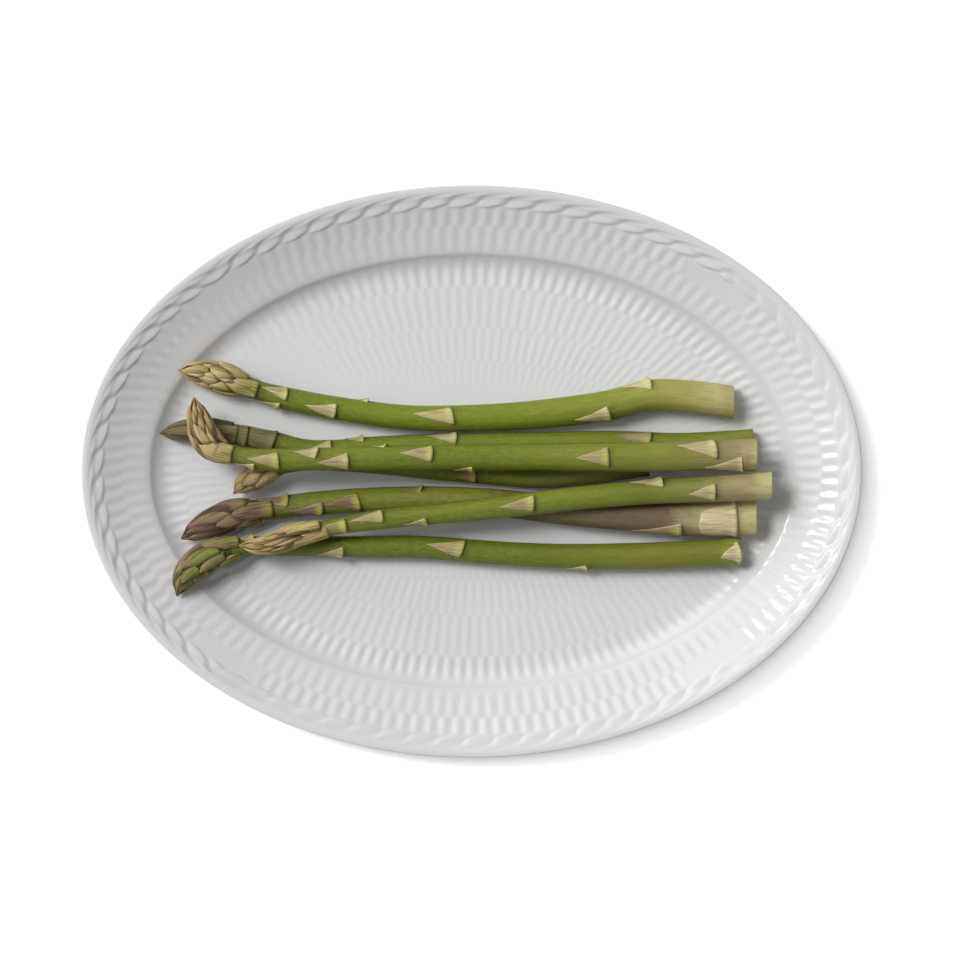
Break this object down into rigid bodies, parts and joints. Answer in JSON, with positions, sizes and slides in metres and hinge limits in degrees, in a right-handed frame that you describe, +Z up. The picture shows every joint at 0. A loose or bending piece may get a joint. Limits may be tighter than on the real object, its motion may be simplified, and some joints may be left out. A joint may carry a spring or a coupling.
{
  "type": "oval serving platter with asparagus",
  "caption": "Oval white porcelain serving platter with a twisted cord border, fluted rim and well and a foot ring, holding loose green asparagus spears that lift off.",
  "frame": {"origin": "centre of the foot ring, on the plane that the platter stands on", "axes": "+X along the platter towards the cut ends of the spears, +Y across it, +Z up"},
  "size_m": [0.285, 0.209, 0.0314],
  "materials": {
    "porcelain": "gloss",
    "stalk": "satin",
    "tip": "matte",
    "scales": "matte"
  },
  "bodies": {
    "dish": {"dish": "porcelain"},
    "spear_1": {"spear_1_stalk": "stalk", "spear_1_tip": "tip", "spear_1_scales": "scales"},
    "spear_2": {"spear_2_stalk": "stalk", "spear_2_tip": "tip", "spear_2_scales": "scales"},
    "spear_3": {"spear_3_stalk": "stalk", "spear_3_tip": "tip", "spear_3_scales": "scales"},
    "spear_4": {"spear_4_stalk": "stalk", "spear_4_tip": "tip", "spear_4_scales": "scales"},
    "spear_5": {"spear_5_stalk": "stalk", "spear_5_tip": "tip", "spear_5_scales": "scales"},
    "spear_6": {"spear_6_stalk": "stalk", "spear_6_tip": "tip", "spear_6_scales": "scales"},
    "spear_7": {"spear_7_stalk": "stalk", "spear_7_tip": "tip", "spear_7_scales": "scales"}
  },
  "joints": [
    {"name": "spear_1_lift", "type": "slide", "parent": "dish", "child": "spear_1", "axis": [0, 0, 1], "range_m": [0, 0.08]},
    {"name": "spear_2_lift", "type": "slide", "parent": "dish", "child": "spear_2", "axis": [0, 0, 1], "range_m": [0, 0.08]},
    {"name": "spear_3_lift", "type": "slide", "parent": "spear_4", "child": "spear_3", "axis": [0, 0, 1], "range_m": [0, 0.08]},
    {"name": "spear_4_lift", "type": "slide", "parent": "spear_2", "child": "spear_4", "axis": [0, 0, 1], "range_m": [0, 0.08]},
    {"name": "spear_5_lift", "type": "slide", "parent": "spear_7", "child": "spear_5", "axis": [0, 0, 1], "range_m": [0, 0.08]},
    {"name": "spear_6_lift", "type": "slide", "parent": "spear_5", "child": "spear_6", "axis": [0, 0, 1], "range_m": [0, 0.08]},
    {"name": "spear_7_lift", "type": "slide", "parent": "dish", "child": "spear_7", "axis": [0, 0, 1], "range_m": [0, 0.08]}
  ]
}
